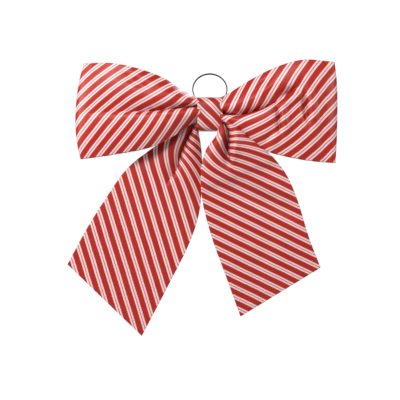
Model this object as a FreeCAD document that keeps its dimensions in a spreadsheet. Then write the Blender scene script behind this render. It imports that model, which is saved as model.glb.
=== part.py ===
"""Cheer hair bow: two gathered loops and two tails of striped ribbon, a wrapped knot, a split ring
that it hangs from, and an alligator clip behind the knot.

Frame: origin on the rear face of the clip's arm, behind the middle of the knot. +X is the viewer's
right, -Y faces the viewer, +Z is up. Sizes are in millimetres.
"""
import FreeCAD, Part
import os
import re
import Sketcher

NODE_LIMIT = 60

doc = FreeCAD.newDocument("HairBow")

# ---------------------------------------------------------------- driving sizes
SIZES = {
    # knot: a short ribbon wrapped round the waist of the bow
    "knot_half_width": 10.3,
    "knot_half_height": 13.4,
    "knot_front": 16.5,
    "knot_rear": 1.3,
    "band_wall": 0.7,
    "lining_gap": 0.05,
    "lining_wall": 0.5,
    "knot_front_round": 6.0,
    "knot_rear_round": 2.5,
    # clip
    "clip_plate": 0.8,
    "arm_half_width": 4.0,
    "arm_reach": 30.0,
    "grip_reach": 27.0,
    "prong_half_width": 3.0,
    "jaw_gap": 3.4,
    "prong_bend": 20.0,
    "prong_tip": 29.0,
    "tip_gap": 0.12,
    "grip_flare": 4.0,
    "pin_offset": 15.0,
    "pin_depth": 1.7,
    "pin_radius": 0.9,
    "pin_clearance": 0.05,
    "ear_radius": 1.6,
    "ear_wall": 0.5,
    "coil_radius": 1.3,
    "coil_wire": 0.25,
    "coil_pitch": 0.7,
    "coil_length": 3.5,
    "felt": 1.0,
    "felt_half_width": 5.0,
    # gathered middles inside the knot
    "gather_rear": 1.8,
    "gather_split": 4.6,
    "gather_front": 14.0,
    "gather_half_height": 11.0,
    "thread_radius": 0.35,
    "thread_pitch": 0.9,
    "thread_groove": 1.0,
    # loops
    "loop_start": 10.9,
    "loop_bulge": 24.0,
    "loop_rear": 5.2,
    "loop_wall": 1.6,
    "interlining": 0.5,
    "edge_margin": 1.5,
    "left_reach": 105.9,
    "left_corner": 99.1,
    "left_top": 39.5,
    "left_bottom": 35.3,
    "right_reach": 100.3,
    "right_corner": 98.0,
    "right_top": 42.3,
    "right_bottom": 38.3,
    "loop_root_top": 13.2,
    "loop_root_bottom": 9.0,
    # tails
    "tail_start": 14.4,
    "tail_root_half": 0.7,
    "tail_gather_half": 2.2,
    "tail_mid_half": 1.3,
    "tail_end_half": 0.8,
    "left_tail_depth": 4.0,
    "right_tail_depth": 8.0,
    "left_tail_outer": 112.8,
    "left_tail_outer_drop": 121.0,
    "left_tail_point": 54.5,
    "left_tail_drop": 176.0,
    "right_tail_outer": 87.7,
    "right_tail_outer_drop": 122.5,
    "right_tail_point": 24.8,
    "right_tail_drop": 160.3,
    # hanging ring and its keeper
    "ring_radius": 13.67,
    "ring_wire": 0.7,
    "ring_turns_width": 1.4,
    "ring_lean": 22.5,
    "ring_pivot_height": 7.9,
    "keeper_radius": 1.75,
    "keeper_wall": 0.6,
    "keeper_half_width": 2.2,
    "keeper_tab": 4.6,
    "keeper_cloth": 0.4,
    # stitches that close the band behind the knot
    "stitch_radius": 0.25,
    "stitch_length": 2.6,
    "stitch_pitch": 3.2,
    "stitch_height": 8.2,
}

sheet = doc.addObject("Spreadsheet::Sheet", "Sizes")
for row, (alias, value) in enumerate(SIZES.items(), start=1):
    sheet.set("A%d" % row, alias)
    sheet.set("B%d" % row, str(value))
    sheet.setAlias("B%d" % row, alias)
doc.recompute()

nodes = []


def size(formula):
    """A formula over the sheet's aliases, as an expression another object can be bound to."""
    return re.sub("[a-z_]+", lambda word: "Sizes." + word[0] if word[0] in SIZES else word[0],
                  formula)


def value_of(formula):
    """The present number of a formula over the sheet's aliases."""
    result = sheet.evalExpression(formula)
    return float(getattr(result, "Value", result))


def bind(thing, settings):
    """Binds each named property of a document object to a formula over the sheet."""
    for name, formula in settings.items():
        thing.setExpression(name, size(formula))


def node(thing, label):
    """Marks an object as one finished sub-part under its own name."""
    thing.Label = label
    nodes.append(thing)
    return thing


# ---------------------------------------------------------------- sketch and body helpers
def new_body(name):
    body = doc.addObject("PartDesign::Body", name)
    body.AllowCompound = True
    return body


def new_sketch(body, name, plane):
    """A sketch on one of the body's own origin planes: XY_Plane, XZ_Plane or YZ_Plane."""
    support = next(item for item in body.Origin.OriginFeatures if item.Role == plane)
    sketch = body.newObject("Sketcher::SketchObject", name)
    sketch.AttachmentSupport = (support, [""])
    sketch.MapMode = "FlatFace"
    return sketch


def add_outline(sketch, corners):
    """A closed run of straight lines, each corner bound to its pair of formulas."""
    points = [FreeCAD.Vector(value_of(a), value_of(b), 0) for a, b in corners]
    first = len(sketch.Geometry)
    for index, point in enumerate(points):
        following = points[(index + 1) % len(points)]
        sketch.addGeometry(Part.LineSegment(point, following), False)
    for index in range(len(points)):
        here = first + index
        after = first + (index + 1) % len(points)
        sketch.addConstraint(Sketcher.Constraint("Coincident", here, 2, after, 1))
    for index, (across, up) in enumerate(corners):
        for kind, formula in (("DistanceX", across), ("DistanceY", up)):
            number = sketch.addConstraint(
                Sketcher.Constraint(kind, -1, 1, first + index, 1, value_of(formula)))
            sketch.setExpression("Constraints[%d]" % number, size(formula))


def add_circle(sketch, across, up, radius):
    """A circle whose centre and radius are bound to formulas."""
    centre = FreeCAD.Vector(value_of(across), value_of(up), 0)
    circle = sketch.addGeometry(
        Part.Circle(centre, FreeCAD.Vector(0, 0, 1), value_of(radius)), False)
    for kind, formula in (("DistanceX", across), ("DistanceY", up)):
        number = sketch.addConstraint(
            Sketcher.Constraint(kind, -1, 1, circle, 3, value_of(formula)))
        sketch.setExpression("Constraints[%d]" % number, size(formula))
    number = sketch.addConstraint(Sketcher.Constraint("Radius", circle, value_of(radius)))
    sketch.setExpression("Constraints[%d]" % number, size(radius))


def rectangle(low_across, high_across, low_up, high_up):
    return [(low_across, low_up), (high_across, low_up), (high_across, high_up),
            (low_across, high_up)]


def pad(body, sketch, length):
    """Thickens a sketch by length, half to each side of its plane."""
    feature = body.newObject("PartDesign::Pad", sketch.Name + "Pad")
    feature.Profile = sketch
    feature.SideType = "Symmetric"
    bind(feature, {"Length": length})
    sketch.Visibility = False
    doc.recompute()
    return feature


def pad_outlines(body, name, plane, outlines, length):
    sketch = new_sketch(body, name, plane)
    for corners in outlines:
        add_outline(sketch, corners)
    return pad(body, sketch, length)


def cut_through(body, sketch):
    """Cuts a sketch's area right through the body and makes sure that it took something away."""
    before = body.Shape.Volume
    feature = body.newObject("PartDesign::Pocket", sketch.Name + "Cut")
    feature.Profile = sketch
    feature.SideType = "Symmetric"
    feature.Type = "Length"
    bind(feature, {"Length": "left_tail_drop * 4"})
    doc.recompute()
    if body.Shape.Volume >= before:
        raise ValueError("%s cuts nothing" % sketch.Name)
    return feature


def keep_inside(body, name, plane, corners):
    """Trims the body to an outline seen along the normal of a plane."""
    sketch = new_sketch(body, name, plane)
    add_outline(sketch, rectangle("0 - left_tail_drop * 2", "left_tail_drop * 2",
                                  "0 - left_tail_drop * 2", "left_tail_drop * 2"))
    add_outline(sketch, corners)
    return cut_through(body, sketch)


def round_edges(body, along, radius, wanted):
    """Fillets the straight edges that run along an axis and whose middle passes the test."""
    base = body.Tip
    names = []
    for index, edge in enumerate(base.Shape.Edges, start=1):
        straight = edge.Curve.TypeId == "Part::GeomLine"
        if straight and abs(edge.tangentAt(edge.FirstParameter).dot(along)) > 0.999:
            if wanted(edge.CenterOfMass):
                names.append("Edge%d" % index)
    feature = body.newObject("PartDesign::Fillet", "Round%d" % len(doc.Objects))
    feature.Base = (base, names)
    bind(feature, {"Radius": radius})
    doc.recompute()
    return feature


# ---------------------------------------------------------------- knot
def wrapped_tube(label, inset, wall):
    """A ribbon wrapped once round the waist: a flat tube along X, open at both ends."""
    body = new_body(label.title().replace("_", ""))
    half = "knot_half_height - %s" % inset
    front = "%s - knot_front" % inset
    rear = "knot_rear - %s" % inset
    pad_outlines(body, body.Name + "Section", "YZ_Plane",
                 [rectangle(front, rear, "0 - ( %s )" % half, half)], "knot_half_width * 2")
    along = FreeCAD.Vector(1, 0, 0)
    round_edges(body, along, "knot_front_round - %s" % inset, lambda middle: middle.y < -5)
    round_edges(body, along, "knot_rear_round - %s" % inset, lambda middle: middle.y > -5)
    outer = body.Tip
    ends = ["Face%d" % index for index, face in enumerate(outer.Shape.Faces, start=1)
            if abs(abs(face.CenterOfMass.x) - value_of("knot_half_width")) < 0.01]
    hollow = body.newObject("PartDesign::Thickness", body.Name + "Wall")
    hollow.Base = (outer, ends)
    hollow.Reversed = True
    bind(hollow, {"Value": wall})
    doc.recompute()
    return node(body, label)


wrapped_tube("knot_band", "0", "band_wall")
wrapped_tube("knot_interlining", "( band_wall + lining_gap )", "lining_wall")


# ---------------------------------------------------------------- gathered middles
def waist_gather():
    """The pleated middle of the ribbon that forms both loops, pinched by the thread."""
    body = new_body("WaistGather")
    half = "gather_half_height"
    pad_outlines(body, "WaistSection", "YZ_Plane",
                 [rectangle("0 - gather_front", "0 - gather_split", "0 - " + half, half)],
                 "knot_half_width * 2")
    round_edges(body, FreeCAD.Vector(1, 0, 0), "knot_front_round - band_wall * 2",
                lambda middle: middle.y < -10)
    pinch_groove(body, "WaistPinch", "gather_half_height", "gather_front")
    return node(body, "waist_gather")


def pinch_groove(body, name, half_height, front):
    """Three thread turns sink into a groove round the middle of the gather."""
    reach = "thread_pitch * 1.5 + thread_radius"
    for side, low, high in (("Top", half_height + " - thread_groove", "knot_half_height * 2"),
                            ("Bottom", "0 - knot_half_height * 2",
                             "thread_groove - " + half_height)):
        sketch = new_sketch(body, name + side, "XZ_Plane")
        add_outline(sketch, rectangle("0 - ( %s )" % reach, reach, low, high))
        cut_through(body, sketch)
    sketch = new_sketch(body, name + "Front", "XY_Plane")
    add_outline(sketch, rectangle("0 - ( %s )" % reach, reach, "0 - knot_front * 2",
                                  "thread_groove - " + front))
    cut_through(body, sketch)


waist_gather()


def tails_gather():
    """The pleated middle of the tails' ribbon: it lies behind the waist, leaves the knot at both
    sides and turns down outside it."""
    body = new_body("TailsGather")
    inside = "knot_half_width - lining_gap * 2"
    outside = "knot_half_width + 0.5"
    spread = "knot_half_width + 4.7"
    floor = "0 - gather_half_height"
    foot = "0.5 - tail_start"
    corners = [("0 - ( %s )" % inside, "3"), (inside, "3"), (spread, "0 - 3"), (spread, foot),
               (outside, foot), (outside, floor), ("0 - ( %s )" % outside, floor),
               ("0 - ( %s )" % outside, foot), ("0 - ( %s )" % spread, foot),
               ("0 - ( %s )" % spread, "0 - 3")]
    pad_outlines(body, "TailsSilhouette", "XZ_Plane", [corners], "gather_split * 2")
    keep_inside(body, "TailsDepth", "YZ_Plane",
                rectangle("0 - gather_split", "0 - gather_rear", "0 - knot_half_height * 2",
                          "knot_half_height * 2"))
    sketch = new_sketch(body, "TailsPinch", "XZ_Plane")
    reach = "thread_pitch * 1.5 + thread_radius"
    add_outline(sketch, rectangle("0 - ( %s )" % reach, reach, "0 - knot_half_height * 2",
                                  "thread_groove - gather_half_height"))
    cut_through(body, sketch)
    return node(body, "tails_gather")


tails_gather()


def waist_thread():
    """Three turns of strong thread that pull both ribbons into pleats."""
    body = new_body("WaistThread")
    front = "gather_front - thread_groove + thread_radius * 2"
    rear = "gather_rear - thread_radius * 2"
    half = "gather_half_height - thread_groove + thread_radius * 2"
    outer = rectangle("0 - ( %s )" % front, "0 - ( %s )" % rear, "0 - ( %s )" % half, half)
    inner = rectangle("thread_radius * 2 - ( %s )" % front, "0 - gather_rear",
                      "thread_radius * 2 - ( %s )" % half, "( %s ) - thread_radius * 2" % half)
    turn = pad_outlines(body, "ThreadTurn", "YZ_Plane", [outer, inner], "thread_radius * 2")
    turns = body.newObject("PartDesign::LinearPattern", "ThreadTurns")
    turns.Originals = [turn]
    axis = next(item for item in body.Origin.OriginFeatures if item.Role == "X_Axis")
    turns.Direction = (axis, [""])
    turns.Occurrences = 3
    bind(turns, {"Length": "thread_pitch * 2"})
    body.Tip = turns
    doc.recompute()
    body.setExpression(".Placement.Base.x", size("0 - thread_pitch"))
    doc.recompute()
    return node(body, "waist_thread")


waist_thread()


# ---------------------------------------------------------------- clip
def felt_pad():
    """Felt glued on the clip's arm, with a slot where the thread turns pass."""
    body = new_body("FeltPad")
    pad_outlines(body, "FeltOutline", "XZ_Plane",
                 [rectangle("0 - arm_reach + 2", "grip_reach - 4", "0 - felt_half_width",
                            "felt_half_width")], "( clip_plate + felt ) * 2")
    keep_inside(body, "FeltDepth", "XY_Plane",
                rectangle("0 - arm_reach * 2", "arm_reach * 2", "0 - clip_plate - felt",
                          "0 - clip_plate"))
    sketch = new_sketch(body, "FeltSlot", "XY_Plane")
    reach = "thread_pitch * 1.5 + thread_radius"
    add_outline(sketch, rectangle("0 - ( %s )" % reach, reach, "0 - knot_front",
                                  "thread_radius * 2 - gather_rear + lining_gap"))
    cut_through(body, sketch)
    return node(body, "felt_pad")


felt_pad()


def clip_arm():
    """The clip's fixed arm: a flat plate with two ears that carry the hinge pin."""
    body = new_body("ClipArm")
    pad_outlines(body, "ArmOutline", "XZ_Plane",
                 [rectangle("0 - arm_reach", "grip_reach", "0 - arm_half_width",
                            "arm_half_width")], "clip_plate * 2")
    keep_inside(body, "ArmDepth", "XY_Plane",
                rectangle("0 - arm_reach * 2", "arm_reach * 2", "0 - clip_plate", "0"))
    round_edges(body, FreeCAD.Vector(0, 1, 0), "arm_half_width * 0.8", lambda middle: True)
    ears = new_sketch(body, "ArmEars", "XY_Plane")
    add_outline(ears, [("pin_offset - ear_radius", "0 - clip_plate * 0.5"),
                       ("pin_offset + ear_radius", "0 - clip_plate * 0.5"),
                       ("pin_offset + ear_radius", "pin_depth + ear_radius * 0.6"),
                       ("pin_offset + ear_radius * 0.5", "pin_depth + ear_radius"),
                       ("pin_offset - ear_radius * 0.5", "pin_depth + ear_radius"),
                       ("pin_offset - ear_radius", "pin_depth + ear_radius * 0.6")])
    pad(body, ears, "arm_half_width * 2")
    between = new_sketch(body, "ArmBetweenEars", "YZ_Plane")
    inner = "arm_half_width - ear_wall"
    add_outline(between, rectangle("0", "knot_front", "0 - ( %s )" % inner, inner))
    cut_through(body, between)
    hole = new_sketch(body, "ArmPinHole", "XY_Plane")
    add_circle(hole, "pin_offset", "pin_depth", "pin_radius")
    cut_through(body, hole)
    return node(body, "clip_arm")


clip_arm()


def clip_pin():
    """The hinge pin, riveted in the arm's ears."""
    body = new_body("ClipPin")
    sketch = new_sketch(body, "PinSection", "XY_Plane")
    add_circle(sketch, "pin_offset", "pin_depth", "pin_radius")
    pad(body, sketch, "arm_half_width * 2 + 0.6")
    return node(body, "clip_pin")


clip_pin()


def clip_prong():
    """The moving prong: its jaw slopes to the arm's tip, its thumb grip flares away from it."""
    body = new_body("ClipProng")
    near = "jaw_gap"
    far = "jaw_gap + clip_plate"
    grip_start = "pin_offset + ear_radius"
    side = [("0 - prong_tip", "tip_gap"), ("0 - prong_bend", near), (grip_start, near),
            ("grip_reach", near + " + grip_flare"), ("grip_reach - 0.3", far + " + grip_flare"),
            (grip_start + " - 0.3", far), ("0 - prong_bend - 0.3", far),
            ("0 - prong_tip - 0.3", "tip_gap + clip_plate")]
    pad_outlines(body, "ProngSide", "XY_Plane", [side], "prong_half_width * 2")
    ears = new_sketch(body, "ProngEars", "XY_Plane")
    low = "pin_depth - ear_radius * 0.5"
    add_outline(ears, [("pin_offset - ear_radius", "jaw_gap + clip_plate * 0.5"),
                       ("pin_offset - ear_radius", low),
                       ("pin_offset - ear_radius * 0.5", "pin_depth - ear_radius * 0.95"),
                       ("pin_offset + ear_radius * 0.5", "pin_depth - ear_radius * 0.95"),
                       ("pin_offset + ear_radius", low),
                       ("pin_offset + ear_radius", "jaw_gap + clip_plate * 0.5")])
    pad(body, ears, "prong_half_width * 2 + ear_wall")
    between = new_sketch(body, "ProngBetweenEars", "XZ_Plane")
    inner = "prong_half_width - ear_wall * 0.75"
    add_outline(between, rectangle("pin_offset - ear_radius * 1.2", "pin_offset + ear_radius * 1.2",
                                   "0 - ( %s )" % inner, inner))
    before = body.Shape.Volume
    feature = body.newObject("PartDesign::Pocket", "ProngEarGap")
    feature.Profile = between
    feature.Reversed = True
    bind(feature, {"Length": "jaw_gap"})
    doc.recompute()
    if body.Shape.Volume >= before:
        feature.Reversed = False
        doc.recompute()
    if body.Shape.Volume >= before:
        raise ValueError("ProngEarGap cuts nothing")
    hole = new_sketch(body, "ProngPinHole", "XY_Plane")
    add_circle(hole, "pin_offset", "pin_depth", "pin_radius + pin_clearance")
    cut_through(body, hole)
    return node(body, "clip_prong")


clip_prong()


def clip_spring():
    """The torsion spring: a coil round the pin, between the ears."""
    body = new_body("ClipSpring")
    sketch = new_sketch(body, "SpringWire", "XZ_Plane")
    add_circle(sketch, "coil_radius", "0 - coil_length * 0.5", "coil_wire")
    coil = body.newObject("PartDesign::AdditiveHelix", "SpringCoil")
    coil.Profile = sketch
    axis = next(item for item in body.Origin.OriginFeatures if item.Role == "Z_Axis")
    coil.ReferenceAxis = (axis, [""])
    coil.Mode = "pitch-height-angle"
    bind(coil, {"Pitch": "coil_pitch", "Height": "coil_length"})
    doc.recompute()
    body.setExpression(".Placement.Base.x", size("pin_offset"))
    body.setExpression(".Placement.Base.y", size("pin_depth"))
    doc.recompute()
    return node(body, "clip_spring")


clip_spring()


# ---------------------------------------------------------------- loops
def loop_plan(side, reach, inset):
    """A loop seen from above: from the waist out round the front, the fold and the back. Each
    corner moves inwards by its own share of the inset, so the wall keeps its thickness."""
    corners = [("loop_start + 1.9", "0 - loop_rear", 1.2, -1.0),
               ("loop_start", "0 - loop_rear - 3.2", 1.0, -0.3),
               ("loop_start", "4 - gather_front", 1.0, 0.3),
               ("loop_start + 1.9", "0.8 - gather_front", 1.2, 1.0),
               (reach + " * 0.3", "4 - loop_bulge", 0.2, 1.0),
               (reach + " * 0.6", "0 - loop_bulge", 0.0, 1.0),
               (reach + " * 0.86", "3 - loop_bulge", -0.3, 1.0),
               (reach, "8.5 - loop_bulge", -1.0, 0.5),
               (reach, "13 - loop_bulge", -1.0, -0.5),
               (reach + " * 0.86", "0 - loop_rear - 1.4", -0.2, -1.0),
               (reach + " * 0.4", "0 - loop_rear", 0.0, -1.0)]
    return [("%d * ( %s + %g * ( %s ) )" % (side, across, shift_x, inset),
             "%s + %g * ( %s )" % (depth, shift_y, inset))
            for across, depth, shift_x, shift_y in corners]


def loop_silhouette(side, reach, corner, top, bottom, margin):
    """A loop seen from the front: it widens from the pleats at the waist to the outer fold."""
    corners = [("0", "loop_root_top - ( %s )" % margin),
               ("loop_start + 2", "loop_root_top + 1 - ( %s )" % margin),
               (reach + " * 0.34", top + " * 0.68 - ( %s )" % margin),
               (reach + " * 0.6", top + " * 0.96 - ( %s )" % margin),
               (reach + " * 0.8", top + " - ( %s )" % margin),
               (corner + " - ( %s )" % margin, top + " - ( %s )" % margin),
               (reach + " * 1.2", "0"),
               (corner + " + 1 - ( %s )" % margin, "( %s ) - %s" % (margin, bottom)),
               (reach + " * 0.7", "( %s ) - %s * 0.9" % (margin, bottom)),
               (reach + " * 0.44", "( %s ) - %s * 0.74" % (margin, bottom)),
               ("loop_start + 2", "( %s ) - loop_root_bottom" % margin),
               ("0", "( %s ) - loop_root_bottom" % margin)]
    return [("%d * ( %s )" % (side, across), up) for across, up in corners]


def loop_body(name, side, sizes, outer_inset, inner_inset, margin):
    """A folded band: its plan is padded up and down, then trimmed to the front silhouette."""
    reach, corner, top, bottom = sizes
    body = new_body(name)
    pad_outlines(body, name + "Plan", "XY_Plane",
                 [loop_plan(side, reach, outer_inset), loop_plan(side, reach, inner_inset)],
                 "right_top * 4")
    keep_inside(body, name + "Front", "XZ_Plane",
                loop_silhouette(side, reach, corner, top, bottom, margin))
    return body


def cut_out(name, label, base, tool):
    """The base without the space that the tool takes."""
    cut = doc.addObject("Part::Cut", name)
    cut.Base = base
    cut.Tool = tool
    doc.recompute()
    return node(cut, label)


def make_loop(label, side, sizes):
    """One loop of ribbon and the stiff interlining shut inside it."""
    name = label.title().replace("_", "")
    skin = "( loop_wall - interlining ) / 2"
    ribbon = loop_body(name, side, sizes, "0", "loop_wall", "0")
    lining = loop_body(name + "Lining", side, sizes, skin, skin + " + interlining", "edge_margin")
    node(lining, label + "_interlining")
    return cut_out(name + "Ribbon", label, ribbon, lining)


make_loop("loop_left", -1, ("left_reach", "left_corner", "left_top", "left_bottom"))
make_loop("loop_right", 1, ("right_reach", "right_corner", "right_top", "right_bottom"))


# ---------------------------------------------------------------- tails
LEFT_TAIL = [("0 - 8.8", "0 - tail_start"), ("0 - 15.5", "0 - tail_start"), ("0 - 30", "0 - 20.5"),
             ("0 - 47.4", "0 - 30"), ("0 - 63", "0 - 41.5"), ("0 - 82", "0 - 68"),
             ("0 - 98", "0 - 93"), ("0 - left_tail_outer", "0 - left_tail_outer_drop"),
             ("0 - left_tail_point", "0 - left_tail_drop"),
             ("0 - left_tail_point + 15", "0 - left_tail_drop + 29"), ("0 - 11.9", "0 - 87.7"),
             ("0 - 7.2", "0 - 62"), ("0 - 7.2", "0 - 28.4")]
RIGHT_TAIL = [("8.6", "0 - tail_start"), ("0 - 4", "0 - 30"), ("0 - 6", "0 - 40"),
              ("0 - 6", "0 - 66"), ("2.4", "0 - 99.5"), ("14.2", "0 - 131"),
              ("right_tail_point", "0 - right_tail_drop"),
              ("right_tail_outer", "0 - right_tail_outer_drop"), ("73.5", "0 - 84"),
              ("65.6", "0 - 60"), ("55.3", "0 - 42"), ("45", "0 - 33"), ("30", "0 - 24"),
              ("16", "0 - tail_start - 0.6")]


def tail_side(depth, thinner):
    """A tail seen from the side: thick where it is gathered, flat at its cut end."""
    stations = [("0 - tail_start", "tail_root_half"), ("0 - 22", "tail_gather_half"),
                ("0 - 60", "tail_mid_half"), ("0 - left_tail_drop - 2", "tail_end_half")]
    front = [("0 - %s - ( %s ) * %g" % (depth, half, thinner), up) for up, half in stations]
    back = [("0 - %s + ( %s ) * %g" % (depth, half, thinner), up) for up, half in stations]
    return front + back[::-1]


def shrink(corners, share):
    """An outline drawn in towards the middle of its own corners."""
    middle_across = sum(value_of(across) for across, up in corners) / len(corners)
    middle_up = sum(value_of(up) for across, up in corners) / len(corners)
    return [("%.3f + ( %s - ( %.3f ) ) * %g" % (middle_across, across, middle_across, share),
             "%.3f + ( %s - ( %.3f ) ) * %g" % (middle_up, up, middle_up, share))
            for across, up in corners]


def tail_body(name, corners, depth, thinner):
    body = new_body(name)
    pad_outlines(body, name + "Front", "XZ_Plane", [corners], "left_tail_drop")
    keep_inside(body, name + "Side", "YZ_Plane", tail_side(depth, thinner))
    return body


def make_tail(label, corners, depth):
    """One tail of ribbon and the interlining shut inside it."""
    name = label.title().replace("_", "")
    ribbon = tail_body(name, corners, depth, 1.0)
    lining = tail_body(name + "Lining", shrink(corners, 0.95), depth, 0.35)
    node(lining, label + "_interlining")
    return cut_out(name + "Ribbon", label, ribbon, lining)


make_tail("tail_left", LEFT_TAIL, "left_tail_depth")
make_tail("tail_right", RIGHT_TAIL, "right_tail_depth")


# ---------------------------------------------------------------- ring and keeper
def split_ring():
    """Two flat turns of hard wire: a rounded section turned about the ring's own axis. The ring
    stands on its pivot, behind the top of the knot, and leans back."""
    body = new_body("SplitRing")
    half_width = "ring_turns_width / 2"
    half_wire = "ring_wire / 2"
    sketch = new_sketch(body, "RingSection", "YZ_Plane")
    add_outline(sketch, [("0 - %s" % half_width, "ring_radius - ring_wire / 4"),
                         ("ring_wire / 4 - %s" % half_width, "ring_radius - %s" % half_wire),
                         ("%s - ring_wire / 4" % half_width, "ring_radius - %s" % half_wire),
                         (half_width, "ring_radius - ring_wire / 4"),
                         (half_width, "ring_radius + ring_wire / 4"),
                         ("%s - ring_wire / 4" % half_width, "ring_radius + %s" % half_wire),
                         ("ring_wire / 4 - %s" % half_width, "ring_radius + %s" % half_wire),
                         ("0 - %s" % half_width, "ring_radius + ring_wire / 4")])
    turn = body.newObject("PartDesign::Revolution", "RingTurn")
    turn.Profile = sketch
    axis = next(item for item in body.Origin.OriginFeatures if item.Role == "Y_Axis")
    turn.ReferenceAxis = (axis, [""])
    turn.Angle = 360
    doc.recompute()
    lean = value_of("ring_lean")
    body.Placement = FreeCAD.Placement(
        FreeCAD.Vector(0, 0, 0), FreeCAD.Rotation(FreeCAD.Vector(1, 0, 0), -lean))
    body.setExpression(".Placement.Base.y",
                       size("knot_rear + keeper_radius + ring_radius * sin(ring_lean)"))
    body.setExpression(".Placement.Base.z",
                       size("ring_pivot_height + ring_radius * cos(ring_lean)"))
    doc.recompute()
    return node(body, "split_ring")


split_ring()


def ring_keeper():
    """A narrow ribbon sleeve that holds the ring's wire against the back of the knot."""
    body = new_body("RingKeeper")
    sketch = new_sketch(body, "KeeperTab", "YZ_Plane")
    add_outline(sketch, rectangle("knot_rear", "knot_rear + keeper_cloth",
                                  "ring_pivot_height - keeper_tab", "ring_pivot_height"))
    pad(body, sketch, "keeper_half_width * 2")
    sleeve = new_sketch(body, "KeeperSleeve", "YZ_Plane")
    add_circle(sleeve, "knot_rear + keeper_radius", "ring_pivot_height", "keeper_radius")
    pad(body, sleeve, "keeper_half_width * 2")
    hole = new_sketch(body, "KeeperHole", "YZ_Plane")
    add_circle(hole, "knot_rear + keeper_radius", "ring_pivot_height",
               "keeper_radius - keeper_wall")
    cut_through(body, hole)
    return node(body, "ring_keeper")


ring_keeper()


def knot_stitches():
    """Five hand stitches that close the wrapped band behind the knot."""
    stitches = []
    for index in range(5):
        stitch = doc.addObject("Part::Cylinder", "Stitch%d" % (index + 1))
        bind(stitch, {"Radius": "stitch_radius", "Height": "stitch_length"})
        bind(stitch, {".Placement.Base.x": "stitch_pitch * %d" % (index - 2),
                      ".Placement.Base.y": "knot_rear + stitch_radius",
                      ".Placement.Base.z": "0 - stitch_height - stitch_length / 2"})
        stitches.append(stitch)
    group = doc.addObject("Part::Compound", "KnotStitches")
    group.Links = stitches
    doc.recompute()
    return node(group, "knot_stitches")


knot_stitches()


# ---------------------------------------------------------------- checks and export
def check_all():
    """Stops on a failed object or a sub-part that isn't a valid solid."""
    for thing in doc.Objects:
        if any(word in thing.State for word in ("Invalid", "Error")):
            raise ValueError("%s failed: %s" % (thing.Name, thing.State))
    for thing in nodes:
        if thing.Shape.isNull() or not thing.Shape.isValid() or not thing.Shape.Solids:
            raise ValueError("%s has no valid solid" % thing.Label)
    if len(nodes) > NODE_LIMIT:
        raise ValueError("too many nodes")


doc.recompute()
check_all()
os.makedirs("parts", exist_ok=True)
for thing in nodes:
    thing.Shape.exportStep("parts/%s.step" % thing.Label)
    box = thing.Shape.BoundBox
    print("%-26s %2d solid(s) %10.2f mm3  x %7.1f %7.1f  y %6.1f %6.1f  z %7.1f %7.1f" % (
        thing.Label, len(thing.Shape.Solids), thing.Shape.Volume, box.XMin, box.XMax,
        box.YMin, box.YMax, box.ZMin, box.ZMax))
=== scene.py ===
"""Cheer hair bow: the looks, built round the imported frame. Lengths in the tables are millimetres."""
import math

import bpy
import numpy as np
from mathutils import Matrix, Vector


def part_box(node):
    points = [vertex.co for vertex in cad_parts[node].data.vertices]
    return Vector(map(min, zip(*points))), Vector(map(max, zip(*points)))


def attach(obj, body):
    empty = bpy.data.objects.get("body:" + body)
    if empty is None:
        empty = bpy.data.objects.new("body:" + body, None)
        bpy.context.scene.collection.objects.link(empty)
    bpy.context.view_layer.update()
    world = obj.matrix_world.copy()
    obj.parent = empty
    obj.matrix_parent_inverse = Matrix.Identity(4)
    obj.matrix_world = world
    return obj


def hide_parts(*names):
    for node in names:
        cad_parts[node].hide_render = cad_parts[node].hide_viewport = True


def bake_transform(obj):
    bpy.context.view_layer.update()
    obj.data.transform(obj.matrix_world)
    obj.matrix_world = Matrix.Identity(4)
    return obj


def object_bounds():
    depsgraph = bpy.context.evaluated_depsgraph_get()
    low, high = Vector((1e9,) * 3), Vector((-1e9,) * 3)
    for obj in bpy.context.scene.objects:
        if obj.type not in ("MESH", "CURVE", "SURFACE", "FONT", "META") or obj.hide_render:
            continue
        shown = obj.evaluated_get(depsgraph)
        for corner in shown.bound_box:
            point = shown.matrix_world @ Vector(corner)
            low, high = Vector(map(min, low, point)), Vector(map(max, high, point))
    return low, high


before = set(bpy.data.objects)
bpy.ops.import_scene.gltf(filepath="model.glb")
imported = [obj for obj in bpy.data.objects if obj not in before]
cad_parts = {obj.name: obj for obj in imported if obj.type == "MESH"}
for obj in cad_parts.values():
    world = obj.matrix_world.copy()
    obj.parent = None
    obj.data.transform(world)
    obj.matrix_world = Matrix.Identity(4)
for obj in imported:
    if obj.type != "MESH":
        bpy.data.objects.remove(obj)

CAD_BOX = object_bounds()
MM = 0.001

# ---------------------------------------------------------------- driving sizes, millimetres
RIBBON_WIDTH = 76.0
RIBBON_HALF = RIBBON_WIDTH / 2
CLOTH = 1.1                 # two layers of satin with interlining between them
KNOT_CLOTH = 0.9
WAIST_CLOTH = 0.6
TAILS_CLOTH = 0.35
KEEPER_CLOTH = 0.34
FELT = 0.95
STRIPE_PERIOD = 7.9
RIGHT_TAIL_PERIOD = 7.2
KNOT_HALF = 10.3
KNOT_HEIGHT = 13.4
THREAD = 0.34               # radius of the winding's thread
STITCH = 0.25               # radius of the stitches' thread

# flat lengths of the ribbon's sheets
WAIST_LENGTH = 20.0
TAILS_LENGTH = 16.0

# how the two panels of a pleated ribbon share its cloth
HIDDEN_SHARE = 0.5          # share of the hidden cloth that moves the stripes
PANEL_JOIN = 0.03           # half-width of the change from panel to panel


# ---------------------------------------------------------------- curves
def walked_length(line):
    """The length of a line up to each of its points."""
    return np.concatenate([[0], np.cumsum(np.linalg.norm(np.diff(line, axis=0), axis=1))])


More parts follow.
